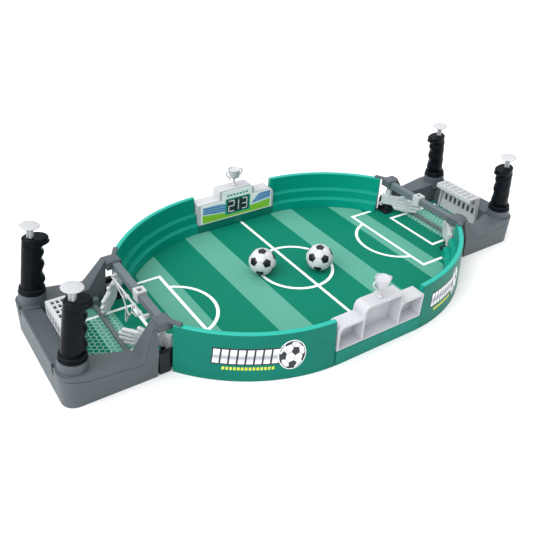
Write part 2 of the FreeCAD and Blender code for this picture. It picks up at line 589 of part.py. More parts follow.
def hand():
    """Keeper's hand on a vertical hub: cuff, palm, thumb and four fingers, drawn along +X then turned."""
    half = HAND_THICKNESS / 2
    hub = Part.makeCylinder(4.0, 37.0 - HAND_FLOOR, V(0, 0, HAND_FLOOR))
    cuff = join(box(-5.5, 4.0, -half, half, HAND_FLOOR, 30.0),
                Part.makeCylinder(half, 30.0 - HAND_FLOOR, V(-5.5, 0, HAND_FLOOR)))
    palm = side_prism([(0, HAND_FLOOR), (5.0, HAND_FLOOR), (9.0, 12.0), (24.0, 10.8), (26.0, 13.0),
                       (26.5, 24.0), (24.0, 26.6), (16.0, 29.5), (0, 30.0)], -half, half)
    fingers = [((23.0, 12.8), (36.5, 12.8)), ((24.0, 16.9), (41.0, 16.7)),
               ((24.0, 20.9), (41.5, 21.2)), ((22.0, 24.6), (38.0, 24.9))]
    parts = [capsule(2.2, (r0, 0, z0), (r1, 0, z1)) for (r0, z0), (r1, z1) in fingers]
    parts.append(capsule(2.2, (13.0, 0, 27.0), (22.5, 0, 30.8)))
    crank_pin = Part.makeCylinder(CRANK_PIN_R, 4.0, V(-CRANK_R, 0, HAND_FLOOR - 3.2))
    bore = Part.makeCylinder(PIN_R + RUNNING, 60.0, V(0, 0, 0))
    body = join(hub, cuff, palm, crank_pin, *parts).cut(bore)
    body.rotate(V(0, 0, 0), UP, HAND_REST_DEG - 90.0)
    body.translate(V(PIVOT_U, PIVOT_V, 0))
    return body


def hand_bearing():
    """Black block between the module and the wall, with a foot and a collar that carry the hand."""
    block = plan_prism([(172.6, 60.4), (188.0, 60.4), (188.0, 65.0), (178.6, 65.0)], PITCH_TOP, 22.0)
    block_foot = plan_prism([(176.0, 60.4), (188.0, 60.4), (188.0, 65.0), (178.6, 65.0)], 0, PITCH_TOP)
    foot = box(172.0, 184.0, 45.5, 60.6, PITCH_TOP, PITCH_TOP + 2.5)
    foot = foot.common(plan_prism([(171.0, 40.0), (190.0, 40.0), (190.0, 70.0), (172.8, 60.6)], 0, 20))
    bridge = box(178.0, 184.0, 57.0, 61.5, PITCH_TOP, 13.8)
    collar = Part.makeCylinder(2.9, HAND_FLOOR - 0.3 - PITCH_TOP, V(PIVOT_U, PIVOT_V, PITCH_TOP))
    bore = Part.makeCylinder(PIN_R + 0.02, 40.0, V(PIVOT_U, PIVOT_V, 0))
    return join(block, block_foot, foot, bridge, collar).cut(bore)


def ball(spot):
    return Part.makeSphere(BALL_R, V(spot[0], spot[1], PITCH_TOP + BALL_R))


def save(name, shape):
    if not shape.isValid():
        print("invalid", name)
    print("%-24s solids %d volume %.1f" % (name, len(shape.Solids), shape.Volume))
    shape.exportStep("parts/%s.step" % name)


def save_ends(name, shape):
    save(name + "_right", shape)
    save(name + "_left", mirror_x(shape))


def save_quarters(name, shape):
    for side, piece in (("right", shape), ("left", mirror_x(shape))):
        save("%s_back_%s" % (name, side), piece)
        save("%s_front_%s" % (name, side), mirror_y(piece))


def save_sides(name, shape):
    """The front one is the back one turned half a turn about the centre."""
    save(name + "_back", shape)
    front = shape.copy()
    front.rotate(V(0, 0, 0), UP, 180)
    save(name + "_front", front)


os.makedirs("parts", exist_ok=True)
save("pitch_sheet", pitch_sheet())
save("net_trim_left", mirror_x(net_trim()))
save("crossbar_marker_right", crossbar_marker(3.0))
save("crossbar_marker_left", mirror_x(crossbar_marker(-7.0)))
for number, spot in enumerate(BALL_SPOTS, 1):
    save("ball_%d" % number, ball(spot))
for name, maker in (("tray", tray), ("end_base", end_base), ("end_cover", end_cover),
                    ("crossbar", crossbar), ("threshold_bar", threshold_bar), ("goal", goal),
                    ("screws", screws), ("pivot_pins", pivot_pins)):
    save_ends(name, maker())
for name, maker in (("wall", wall), ("handle", handle), ("plunger", plunger),
                    ("return_spring", return_spring), ("rocker", rocker), ("link", link),
                    ("hand", hand), ("hand_bearing", hand_bearing)):
    save_quarters(name, maker())
for name, maker in (("scoreboard", scoreboard), ("score_label", score_label), ("trophy", trophy)):
    save_sides(name, maker())
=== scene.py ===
import math

import bmesh
import bpy
from mathutils import Matrix, Vector


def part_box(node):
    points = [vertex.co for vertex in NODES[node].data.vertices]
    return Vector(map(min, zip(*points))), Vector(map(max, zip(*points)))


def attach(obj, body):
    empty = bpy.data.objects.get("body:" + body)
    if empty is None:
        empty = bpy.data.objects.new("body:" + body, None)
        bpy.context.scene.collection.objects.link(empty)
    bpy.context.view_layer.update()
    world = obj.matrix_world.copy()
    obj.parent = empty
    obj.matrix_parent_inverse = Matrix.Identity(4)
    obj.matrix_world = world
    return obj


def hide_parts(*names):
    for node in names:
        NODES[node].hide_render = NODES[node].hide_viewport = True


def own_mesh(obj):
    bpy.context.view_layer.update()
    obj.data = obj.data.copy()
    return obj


# Tabletop football game. Lengths are in metres in the frame of the CAD part: +X along the pitch, +Z up.

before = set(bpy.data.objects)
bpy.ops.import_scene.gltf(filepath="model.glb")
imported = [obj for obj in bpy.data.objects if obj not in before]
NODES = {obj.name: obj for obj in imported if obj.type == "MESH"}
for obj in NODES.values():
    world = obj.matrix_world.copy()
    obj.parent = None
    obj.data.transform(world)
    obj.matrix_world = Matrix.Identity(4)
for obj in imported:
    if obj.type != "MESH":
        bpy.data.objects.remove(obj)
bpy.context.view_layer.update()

# Camera
CAMERA_AZIMUTH = math.radians(-35.627)
CAMERA_ELEVATION = math.radians(33.637)
CAMERA_ROLL = math.radians(3.345)
CAMERA_DISTANCE = 0.68796
CAMERA_TARGET = Vector((-0.02065, 0.02205, 0.0056))
CAMERA_LENS = 43.45

# Light: the sky's strength at the horizon and overhead, and one wide soft window
SKY_LOW = 0.30
SKY_HIGH = 1.45
SUN_FROM = Vector((-0.75, -0.1, 0.7))
SUN_SPREAD = math.radians(60.0)
SUN_STRENGTH = 2.4
FLOOR_GREY = (242, 242, 243)

# Colours in sRGB, from 0 to 255
GREEN = (8, 114, 98)
# Painted light: the walls' inner faces get this lighter green in place of the shade inside the walls, so
# that they look as bright as the outer faces
INNER_WALL_LIT_GREEN = (1, 144, 125)
# Painted highlight: the top band of the walls' rim is painted this lighter green to stand in for the light
# the rim catches
RIM_HIGHLIGHT_GREEN = (44, 170, 154)
TRAY_GREEN = (12, 126, 110)
SEAM_GREEN = (4, 60, 50)
PITCH_DARK = ((8, 112, 90), (14, 120, 97))
PITCH_LIGHT = ((84, 152, 134), (95, 162, 144))
PRINT_WHITE = (244, 248, 247)
GREY = (80, 89, 94)
DARK_GREY = (96, 107, 112)
BLACK = (8, 15, 22)
BLOCK_BLACK = (22, 26, 32)
WHITE = (190, 192, 197)
BUTTON = (188, 190, 194)
GLOVE = (196, 200, 204)
INNER = (178, 180, 184)
NET_WHITE = (214, 246, 236)

# Pitch print
STRIPES = ((-0.2150, -0.1910), (-0.1486, -0.1165), (-0.0700, -0.0380), (0.0473, 0.0770), (0.1210, 0.1515),
           (0.1946, 0.2250))
LINE_HALF = 0.00165
HALFWAY_X = 0.0060
CIRCLE_Y = 0.0063
CIRCLE_R = 0.0400
BOX_Y = 0.0605
ARC_X = 0.1417
ARC_R = 0.0419
AREA_X = 0.1721
# For each end: which way it lies, its penalty line and half the width of its goal area
PITCH_ENDS = ((-1, 0.1278, 0.0301), (1, 0.1317, 0.0347))
NET_START = 0.1930
NET_CELL = 0.0052
NET_LINE = 0.00018
NET_RAGGED = 0.9

# Painted joints: half the width of the seam between the tray halves, and the top of the boards' green foot
SEAM_HALF = 0.0003
BOARD_FOOT_Z = 0.0155

# Walls: the middle of their arcs, and the outer radius at the foot and at the rim
WALL_CENTRE = (0.044, -0.032)
OUTER_R_FOOT = 0.1655
OUTER_R_RIM = 0.1619
# How far inside the outer face the painted lighter green of the inner faces begins
INNER_LIT_DEPTH = 0.0012
RIM_Z = 0.048

# Keepers' hands
PIVOT = (0.177, 0.050)
HAND_REST = math.radians(42.0 - 90.0)
QUARTERS = (("back_right", 1, 1), ("front_right", 1, -1), ("back_left", -1, 1), ("front_left", -1, -1))

# Handles lean towards the pitch; the springs' coil radius, wire radius, turns, and steps in each turn
HANDLE_LEAN = math.radians(6.6)
SPRING_COIL_R = 0.0045
SPRING_WIRE_R = 0.00045
SPRING_TURNS = 10
SPRING_STEPS = 24

# Balls: how panels are domed and grooved, as shares of the radius, and which way they face as the balls lie
BALL_R = 0.0143
PANEL_EASE = 1.6
PANEL_DOME = 0.006
GROOVE_DEEP = 0.028
GROOVE_WIDE = 0.10
BALL_FACE_WAY = Vector((-0.504, -0.471, 0.724))
BALL_TOP_WAY = Vector((-0.115, -0.074, 0.991))
# The ball on the badges: where one patch and its neighbour face
ROUNDEL_PATCH_WAY = Vector((0.28, 0.29, 0.915))
ROUNDEL_NEXT_WAY = Vector((-0.62, 0.06, 0.78))

# Badges: the height where the silver blocks are darkest, and the right one's width as a share of the left's
SILVER_MIDDLE_Z = 0.0250
RIGHT_BADGE_SHARE = 0.72

# How thick a printed layer on the score cards is
INK_THICK = 0.00005


# Materials

def linear(rgb):
    """sRGB numbers from 0 to 255 as a linear colour with alpha."""
    out = []
    for c in rgb:
        c /= 255.0
        out.append(c / 12.92 if c <= 0.04045 else ((c + 0.055) / 1.055) ** 2.4)
    return (*out, 1.0)


class Paint:
    """One node material, with short forms for its nodes."""

    def __init__(self, name):
        self.material = bpy.data.materials.new(name)
        self.material.use_nodes = True
        self.tree = self.material.node_tree
        self.tree.nodes.clear()
        self.where = self.add("ShaderNodeTexCoord").outputs["Object"]

    def add(self, kind, values=None, **settings):
        node = self.tree.nodes.new(kind)
        for key, value in settings.items():
            setattr(node, key, value)
        for key, value in (values or {}).items():
            self.put(node.inputs[key], value)
        return node

    def put(self, socket, value):
        if isinstance(value, bpy.types.NodeSocket):
            self.tree.links.new(value, socket)
        elif value is not None:
            socket.default_value = value

    def math(self, operation, a, b=None, c=None, clamp=False):
        node = self.add("ShaderNodeMath", {0: a, 1: b, 2: c}, operation=operation, use_clamp=clamp)
        return node.outputs[0]

    def vector(self, operation, a, b=None):
        node = self.add("ShaderNodeVectorMath", {0: a, 1: b}, operation=operation)
        return node.outputs["Value" if operation in ("DOT_PRODUCT", "LENGTH") else "Vector"]

    def split(self, vector):
        return self.add("ShaderNodeSeparateXYZ", {0: vector}).outputs

    def join(self, x, y, z=0.0):
        return self.add("ShaderNodeCombineXYZ", {0: x, 1: y, 2: z}).outputs[0]

    def stretch(self, scale):
        return self.vector("MULTIPLY", self.where, scale)

    def noise(self, scale, detail=2.0, where=None):
        values = {"Vector": where or self.where, "Scale": scale, "Detail": detail}
        return self.add("ShaderNodeTexNoise", values).outputs["Fac"]

    def mix(self, factor, a, b):
        """Colours or linear-colour tuples mixed by factor."""
        node = self.add("ShaderNodeMix", {0: factor, 6: a, 7: b}, data_type="RGBA")
        return node.outputs[2]

    def ramp(self, value, low, high, to_low=0.0, to_high=1.0):
        values = {0: value, 1: low, 2: high, 3: to_low, 4: to_high}
        return self.add("ShaderNodeMapRange", values).outputs[0]

    def near(self, value, target, tolerance):
        return self.math("COMPARE", value, target, tolerance)

    def within(self, value, low, high):
        return self.near(value, (low + high) / 2, (high - low) / 2)

    def both(self, *masks):
        total = masks[0]
        for mask in masks[1:]:
            total = self.math("MULTIPLY", total, mask)
        return total

    def either(self, *masks):
        total = masks[0]
        for mask in masks[1:]:
            total = self.math("MAXIMUM", total, mask)
        return total

    def rounded_edges(self, radius):
        """The normal with its edges softened, and a mask of those edges."""
        soft = self.add("ShaderNodeBevel", {"Radius": radius}, samples=4).outputs[0]
        flat = self.add("ShaderNodeNewGeometry").outputs["Normal"]
        edge = self.math("SUBTRACT", 1.0, self.vector("DOT_PRODUCT", soft, flat))
        return soft, self.math("MULTIPLY", edge, 5.0, clamp=True)

    def bump(self, height, strength, distance, normal=None):
        values = {"Height": height, "Strength": strength, "Distance": distance, "Normal": normal}
        return self.add("ShaderNodeBump", values).outputs[0]

    def finish(self, color, roughness, normal, **extra):
        values = {"Base Color": color, "Roughness": roughness, "Normal": normal}
        values.update({key.replace("_", " "): value for key, value in extra.items()})
        shader = self.add("ShaderNodeBsdfPrincipled", values)
        output = self.add("ShaderNodeOutputMaterial")
        self.tree.links.new(shader.outputs[0], output.inputs["Surface"])
        return self.material


def moulded(name, rgb, roughness, grain=0.25, mottle=0.10, edge_wear_and_highlight=0.35, edge=0.0005, tints=(), **extra):
    """Injection-moulded plastic: faint flow mottling, fine texture, pale edges that are partly rubbed wear
    and partly painted highlight, and light scuffs.

    Each tint is a function that gives a mask and the colour inside it.
    """
    p = Paint(name)
    soft, edges = p.rounded_edges(edge)
    blotch = p.noise(22.0, 4.0)
    flow = p.noise(9.0, 3.0, p.stretch((1.0, 1.0, 6.0)))
    scuffs = p.ramp(p.noise(260.0, 2.0, p.stretch((1.0, 0.18, 0.6))), 0.62, 0.78)
    fine = p.noise(1900.0, 3.0)
    base = linear(rgb)
    dark = tuple(c * (1.0 - mottle) for c in base[:3]) + (1.0,)
    light = tuple(min(1.0, c * (1.0 + mottle) + 0.001) for c in base[:3]) + (1.0,)
    pale = tuple(c + (1.0 - c) * 0.28 for c in base[:3]) + (1.0,)
    tone = p.math("MULTIPLY_ADD", p.math("ADD", blotch, flow), 0.5, 0.0)
    color = p.mix(p.ramp(tone, 0.35, 0.65), dark, light)
    for mask, tint in tints:
        color = p.mix(mask(p), color, linear(tint))
    # Painted highlight and wear: the edges are mixed towards a paler tint, both as rubbed wear and as a
    # painted highlight along the edges
    rubbed_and_highlit = p.math("MULTIPLY", edges, p.ramp(p.noise(160.0, 3.0), 0.35, 0.7, 0.35, 1.0))
    color = p.mix(p.math("MULTIPLY", rubbed_and_highlit, edge_wear_and_highlight), color, pale)
    rough = p.math("MULTIPLY_ADD", blotch, 0.14, roughness - 0.07)
    rough = p.math("MULTIPLY_ADD", scuffs, 0.07, rough)
    height = p.math("MULTIPLY_ADD", scuffs, -0.25, fine)
    return p.finish(color, rough, p.bump(height, grain, 0.00006, soft), **extra)


def above(place):
    return lambda p: p.math("GREATER_THAN", p.split(p.where)[2], place)


def below(place):
    return lambda p: p.math("LESS_THAN", p.split(p.where)[2], place)


def middle_seam(p):
    return p.near(p.split(p.where)[0], 0.0, SEAM_HALF)


def lit_inner_walls(p):
    """Mask of the walls' stepped inner faces, whose green is painted lighter to make up for the shade inside
    the walls.
    """
    x, y, z = p.split(p.where)
    from_centre = p.join(p.math("SUBTRACT", p.math("ABSOLUTE", x), WALL_CENTRE[0]),
                         p.math("SUBTRACT", p.math("ABSOLUTE", y), WALL_CENTRE[1]))
    outside = p.math("MULTIPLY_ADD", z, (OUTER_R_RIM - OUTER_R_FOOT) / RIM_Z, OUTER_R_FOOT - INNER_LIT_DEPTH)
    return p.math("LESS_THAN", p.vector("LENGTH", from_centre), outside)


def pitch_print():
    """The printed pitch: stripes across it, white lines and a honeycomb net in each goal mouth."""
    p = Paint("pitch_print")
    x, y, _ = p.split(p.where)
    stripes = p.either(*[p.within(x, low, high) for low, high in STRIPES])
    grass = p.noise(900.0, 3.0)
    patchy = p.noise(30.0, 3.0)
    dark = p.mix(grass, linear(PITCH_DARK[0]), linear(PITCH_DARK[1]))
    light = p.mix(grass, linear(PITCH_LIGHT[0]), linear(PITCH_LIGHT[1]))
    color = p.mix(stripes, dark, light)
    color = p.mix(p.ramp(patchy, 0.3, 0.7, 0.0, 0.08), color, linear(PITCH_DARK[0]))
    wide = LINE_HALF
    from_centre = p.join(p.math("SUBTRACT", x, HALFWAY_X), p.math("SUBTRACT", y, CIRCLE_Y))
    marks = [p.near(p.vector("LENGTH", from_centre), CIRCLE_R, wide), p.near(x, HALFWAY_X, wide)]
    nets = []
    for way, box_x, area_y in PITCH_ENDS:
        out = p.math("MULTIPLY", x, way)
        v = p.math("ABSOLUTE", y)
        for line_x, half in ((box_x, BOX_Y), (AREA_X, area_y)):
            marks.append(p.both(p.near(out, line_x, wide), p.math("LESS_THAN", v, half + wide)))
            marks.append(p.both(p.near(v, half, wide), p.math("GREATER_THAN", out, line_x - wide)))
        from_spot = p.join(p.math("SUBTRACT", out, ARC_X), y)
        arc = p.near(p.vector("LENGTH", from_spot), ARC_R, wide)
        marks.append(p.both(arc, p.math("LESS_THAN", out, box_x), p.math("GREATER_THAN", out, 0.0)))
        nets.append(p.both(honeycomb(p, out, y), p.math("LESS_THAN", v, area_y)))
    lines = p.either(*marks)
    net = p.either(*nets)
    color = p.mix(p.math("MULTIPLY", net, 0.82), color, linear(NET_WHITE))
    color = p.mix(p.math("MULTIPLY", lines, 0.97), color, linear(PRINT_WHITE))
    scuffs = p.ramp(p.noise(180.0, 2.0, p.stretch((0.3, 1.0, 1.0))), 0.6, 0.8)
    rough = p.math("MULTIPLY_ADD", scuffs, 0.12, 0.50)
    height = p.math("MULTIPLY_ADD", lines, 0.6, p.noise(1500.0, 3.0))
    return p.finish(color, rough, p.bump(height, 0.2, 0.00005), Specular_IOR_Level=0.06)


def honeycomb(p, u, y):
    """Mask of hexagon edges from NET_START outwards, by the distance to the nearer of two cell lattices."""
    row = NET_CELL * math.sqrt(3.0)
    nearest = []

    def from_middle(value, shift, size):
        wrapped = p.math("WRAP", p.math("ADD", value, shift * size), size, 0.0)
        return p.math("ABSOLUTE", p.math("SUBTRACT", wrapped, size / 2))

    for shift in (0.0, 0.5):
        au = from_middle(u, shift, row)
        av = from_middle(y, shift, NET_CELL)
        slant = p.math("ADD", p.math("MULTIPLY", au, math.sqrt(3.0) / 2), p.math("MULTIPLY", av, 0.5))
        nearest.append(p.math("MAXIMUM", slant, av))
    cell = p.math("MINIMUM", *nearest)
    edge = p.math("GREATER_THAN", cell, NET_CELL / 2 - NET_LINE)
    ragged = p.math("ADD", u, p.math("MULTIPLY", p.math("PINGPONG", y, NET_CELL / 2), NET_RAGGED))
    return p.both(edge, p.math("GREATER_THAN", ragged, NET_START))


def metal(name):
    """Bright drawn steel with fine circular marks."""
    p = Paint(name)
    soft, edges = p.rounded_edges(0.0001)
    marks = p.noise(1400.0, 2.0, p.stretch((1.0, 1.0, 9.0)))
    color = p.mix(marks, linear((150, 152, 156)), linear((205, 206, 210)))
    rough = p.math("MULTIPLY_ADD", marks, 0.2, 0.22)
    rough = p.math("MULTIPLY_ADD", edges, -0.08, rough)
    return p.finish(color, rough, p.bump(marks, 0.15, 0.00004, soft), Metallic=1.0)


def ink(name, low_rgb, high_rgb, scale, roughness=0.4, stretched=(1.0, 1.0, 1.0)):
    """Screen-printed ink with a mottled tone between two colours."""
    p = Paint(name)
    tone = p.ramp(p.noise(scale, 3.0, p.stretch(stretched)), 0.35, 0.65)
    color = p.mix(tone, linear(low_rgb), linear(high_rgb))
    fine = p.noise(2200.0, 2.0)
    rough = p.math("MULTIPLY_ADD", tone, 0.08, roughness)
    return p.finish(color, rough, p.bump(fine, 0.2, 0.00004))


def silver_ink():
    """White lettering ink that shades to silver across the middle of the band."""
    p = Paint("silver_ink")
    z = p.split(p.where)[2]
    dip = p.math("ABSOLUTE", p.math("SUBTRACT", z, SILVER_MIDDLE_Z))
    tone = p.ramp(dip, 0.0, 0.0045)
    color = p.mix(tone, linear((150, 156, 164)), linear((242, 245, 247)))
    return p.finish(color, 0.4, p.bump(p.noise(2200.0), 0.2, 0.00004))


def ball_leather(name, rgb, roughness):
    """Moulded ball panel with a fine pebbled skin."""
    p = Paint(name)
    pebble = p.add("ShaderNodeTexVoronoi", {"Vector": p.where, "Scale": 1500.0}).outputs["Distance"]
    blotch = p.noise(120.0, 3.0)
    base = linear(rgb)
    dim = tuple(c * 0.86 for c in base[:3]) + (1.0,)
    color = p.mix(p.ramp(blotch, 0.3, 0.7), dim, base)
    rough = p.math("MULTIPLY_ADD", blotch, 0.12, roughness)
    return p.finish(color, rough, p.bump(pebble, 0.25, 0.00006))


MAT = {
    # Wall green with painted light: the inner faces are painted lighter to offset their shade
    "wall": moulded("wall_green", GREEN, 0.40, grain=0.15, edge_wear_and_highlight=0.3, edge=0.0008,
                    # The band above the rim height is a painted highlight
                    tints=((lit_inner_walls, INNER_WALL_LIT_GREEN), (above(RIM_Z - 0.0009), RIM_HIGHLIGHT_GREEN)),
                    Specular_IOR_Level=0.12),
    "tray": moulded("tray_green", TRAY_GREEN, 0.45, grain=0.25, edge_wear_and_highlight=0.25,
                    tints=((middle_seam, SEAM_GREEN),), Specular_IOR_Level=0.12),
    "pitch": pitch_print(),
    "grey": moulded("grey_plastic", GREY, 0.48, grain=0.35, mottle=0.06, edge_wear_and_highlight=0.3, edge=0.0006,
                    Specular_IOR_Level=0.35),
    "grey_dark": moulded("dark_grey_plastic", DARK_GREY, 0.50, grain=0.35, mottle=0.06, edge_wear_and_highlight=0.25,
                         Specular_IOR_Level=0.35),
    "black": moulded("grip_black", BLACK, 0.30, grain=0.2, mottle=0.15, edge_wear_and_highlight=0.05, edge=0.0008,
                     Coat_Weight=0.03, Coat_Roughness=0.2, Specular_IOR_Level=0.07),
    "block": moulded("bearing_black", BLOCK_BLACK, 0.5, grain=0.4, edge_wear_and_highlight=0.15, Specular_IOR_Level=0.25),
    "white": moulded("white_plastic", WHITE, 0.38, grain=0.15, mottle=0.03, edge_wear_and_highlight=0.2, edge=0.0006,
                     Specular_IOR_Level=0.3),
    "board": moulded("board_white", WHITE, 0.38, grain=0.15, mottle=0.03, edge_wear_and_highlight=0.2, edge=0.0006,
                     tints=((below(BOARD_FOOT_Z), GREEN),), Specular_IOR_Level=0.3),
    "button": moulded("button_white", BUTTON, 0.33, grain=0.12, mottle=0.03, edge_wear_and_highlight=0.2,
                      Specular_IOR_Level=0.3),
    "glove": moulded("glove_white", GLOVE, 0.5, grain=0.35, mottle=0.05, edge_wear_and_highlight=0.2, edge=0.0004,
                     Specular_IOR_Level=0.3),
    "inner": moulded("inner_plastic", INNER, 0.45, grain=0.2, mottle=0.05),
    "steel": metal("steel"),
    "card": ink("label_card", (244, 249, 250), (252, 254, 254), 300.0),
    "lime": ink("label_grass", (108, 184, 24), (160, 220, 66), 1400.0),
    "stand": ink("label_stand", (104, 156, 214), (164, 208, 240), 900.0, stretched=(1.0, 1.0, 3.0)),
    "stand_dark": ink("label_stand_dark", (52, 96, 160), (80, 130, 194), 900.0),
    "teal": ink("label_teal", (12, 150, 128), (24, 166, 142), 500.0),
    "display": ink("label_display", (30, 33, 42), (46, 50, 60), 500.0, roughness=0.25),
    "digit": ink("label_digit", (226, 230, 234), (246, 248, 250), 500.0),
    "outline": ink("badge_outline", (24, 28, 40), (36, 40, 54), 500.0),
    "silver": silver_ink(),
    "yellow": ink("badge_yellow", (196, 206, 40), (218, 226, 70), 700.0),
    "ink_white": ink("badge_white", (238, 242, 244), (250, 252, 252), 500.0),
    "ball_white": ball_leather("ball_white", (206, 208, 213), 0.36),
    "ball_black": ball_leather("ball_black", (8, 8, 12), 0.34),
    "ball_seam": ball_leather("ball_seam", (52, 54, 60), 0.55),
}


# Mesh helpers

def new_piece(name, bm, materials, body, smooth=True):
    """A mesh object in the row frame that rides on a body."""
    mesh = bpy.data.meshes.new(name)
    bmesh.ops.recalc_face_normals(bm, faces=bm.faces)
    bm.to_mesh(mesh)
    bm.free()
    for key in materials:
        mesh.materials.append(MAT[key])
    for face in mesh.polygons:
        face.use_smooth = smooth
    piece = bpy.data.objects.new(name, mesh)
    bpy.context.scene.collection.objects.link(piece)
    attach(piece, body)
    return piece


def apply_modifiers(piece, *specs):
    """Adds modifiers, each a kind and its settings, and turns the result into the piece's mesh."""
    for kind, settings in specs:
        modifier = piece.modifiers.new(kind.lower(), kind)
        for key, value in settings.items():
            setattr(modifier, key, value)
    graph = bpy.context.evaluated_depsgraph_get()
    mesh = bpy.data.meshes.new_from_object(piece.evaluated_get(graph), depsgraph=graph)
    piece.modifiers.clear()
    for key in range(len(piece.data.materials)):
        if key >= len(mesh.materials):
            mesh.materials.append(piece.data.materials[key])
    piece.data = mesh
    for face in mesh.polygons:
        face.use_smooth = True


def circle_angles(count):
    return [2 * math.pi * i / count for i in range(count)]


def add_skin(bm, rings):
    """Quads between neighbouring rings of points."""
    around = len(rings[0])
    for low, high in zip(rings, rings[1:]):
        for i in range(around):
            j = (i + 1) % around
            bm.faces.new((low[i], low[j], high[j], high[i]))


def add_tapered(bm, start, end, r0, r1, around=16, steps=5):
    """A round bar from start to end with domed ends."""
    start, end = Vector(start), Vector(end)
    axis = (end - start).normalized()
    turn = axis.to_track_quat("Z", "Y").to_matrix()
    length = (end - start).length
    dome = [i * math.pi / 2 / steps for i in range(steps + 1)]
    profile = [(-r0 * math.cos(a), r0 * math.sin(a)) for a in dome[1:]]
    profile += [(length + r1 * math.sin(a), r1 * math.cos(a)) for a in dome[:-1]]
    rings = []
    for along, radius in profile:
        ring = [Vector((radius * math.cos(a), radius * math.sin(a), along)) for a in circle_angles(around)]
        rings.append([bm.verts.new(start + turn @ point) for point in ring])
    tips = (bm.verts.new(start - axis * r0), bm.verts.new(end + axis * r1))
    add_skin(bm, rings)
    for i in range(around):
        j = (i + 1) % around
        bm.faces.new((rings[0][j], rings[0][i], tips[0]))
        bm.faces.new((rings[-1][i], rings[-1][j], tips[1]))


def add_prism(bm, outline, low, high, place):
    """A prism of a flat outline between two depths; place turns (a, b, depth) into a point."""
    bottom = [bm.verts.new(place(a, b, low)) for a, b in outline]
    top = [bm.verts.new(place(a, b, high)) for a, b in outline]
    bm.faces.new(bottom)
    bm.faces.new(top)
    for i in range(len(outline)):
        j = (i + 1) % len(outline)
        bm.faces.new((bottom[i], bottom[j], top[j], top[i]))


def rounded_rectangle(a0, a1, b0, b1, radius, steps=5):
    points = []
    for ca, cb, start in ((a1 - radius, b0 + radius, -90), (a1 - radius, b1 - radius, 0),
                          (a0 + radius, b1 - radius, 90), (a0 + radius, b0 + radius, 180)):
        for i in range(steps + 1):
            angle = math.radians(start + 90 * i / steps)
            points.append((ca + radius * math.cos(angle), cb + radius * math.sin(angle)))
    return points


def lathe(bm, profile, centre, around=64):
    """A turned shape from (radius, height) points on an upright axis."""
    rings = []
    for radius, height in profile:
        ring = [Vector((radius * math.cos(a), radius * math.sin(a), height)) for a in circle_angles(around)]
        rings.append([bm.verts.new(centre + point) for point in ring])
    add_skin(bm, rings)
    bm.faces.new(rings[0])
    bm.faces.new(rings[-1])


# Balls

def icosahedron():
    golden = (1 + math.sqrt(5)) / 2
    corners = []
    for s in (-1, 1):
        for t in (-golden, golden):
            corners += [Vector((0, s, t)), Vector((s, t, 0)), Vector((t, 0, s))]
    side = min((corners[0] - c).length for c in corners[1:])
    beside = []
    for corner in corners:
        beside.append([j for j in range(12) if abs((corner - corners[j]).length - side) < 0.01])
    faces = []
    for i in range(12):
        faces += [(i, j, k) for j in beside[i] for k in beside[j] if i < j < k and k in beside[i]]
    return corners, beside, faces


def turn_to(first, second, first_way, second_way):
    """The rotation that takes one direction to first_way and another to the side where second_way lies."""
    def basis(along, beside):
        along = along.normalized()
        across = along.cross(beside).normalized()
        return Matrix((along, across, along.cross(across))).transposed()

    return basis(first_way, second_way) @ basis(first, second).transposed()


def ball_panels(flat_on=False):
    """The outlines of 12 five-sided and 20 six-sided panels, as the balls lie or as the badges show them."""
    corners, beside, faces = icosahedron()
    if flat_on:
        turn = turn_to(corners[0], corners[beside[0][0]], ROUNDEL_PATCH_WAY, ROUNDEL_NEXT_WAY)
    else:
        gap = sum((corners[i] for i in faces[0]), Vector())
        turn = turn_to(gap, corners[faces[0][0]], BALL_FACE_WAY, BALL_TOP_WAY)
    panels = []
    for i in range(12):
        panels.append([corners[i].lerp(corners[j], 1 / 3) for j in beside[i]])
    for face in faces:
        ring = [corners[a].lerp(corners[b], 1 / 3) for a in face for b in face if a != b]
        panels.append(ring)
    turned = []
    for ring in panels:
        ring = [turn @ point for point in ring]
        middle = sum(ring, Vector()) / len(ring)
        first = (ring[0] - middle).normalized()
        second = middle.normalized().cross(first)
        ring.sort(key=lambda q: math.atan2((q - middle).dot(second), (q - middle).dot(first)))
        turned.append(ring)
    return turned


def soccer_ball(number, steps=12):
    """A ball of cushioned panels with grooved seams."""
    node = f"ball_{number}"
    low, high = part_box(node)
    centre = (low + high) / 2
    bm = bmesh.new()
    for ring in ball_panels():
        middle = sum(ring, Vector()) / len(ring)
        for a, b in zip(ring, ring[1:] + ring[:1]):
            rows = []
            for i in range(steps + 1):
                inward = (i / steps) ** PANEL_EASE
                groove = GROOVE_DEEP * (1 - min(1.0, inward / GROOVE_WIDE)) ** 2 + PANEL_DOME * (1 - inward)
                row = []
                for j in range(steps + 1 - i):
                    edge = a.lerp(b, j / (steps - i) if i < steps else 0.0)
                    point = edge.lerp(middle, inward)
                    row.append(bm.verts.new(centre + point.normalized() * BALL_R * (1 - groove)))
                rows.append(row)
            panel = 1 if len(ring) == 5 else 0
            for i, (outer, inner) in enumerate(zip(rows, rows[1:])):
                kind = 2 if i == 0 else panel
                for j in range(len(inner)):
                    bm.faces.new((outer[j], outer[j + 1], inner[j])).material_index = kind
                    if j + 1 < len(inner):
                        bm.faces.new((outer[j + 1], inner[j + 1], inner[j])).material_index = kind
    bmesh.ops.remove_doubles(bm, verts=bm.verts, dist=0.00002)
    materials = ("ball_white", "ball_black", "ball_seam")
    piece = new_piece(f"soccer_ball_{number}", bm, materials, node)
    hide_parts(node)


# Trophies

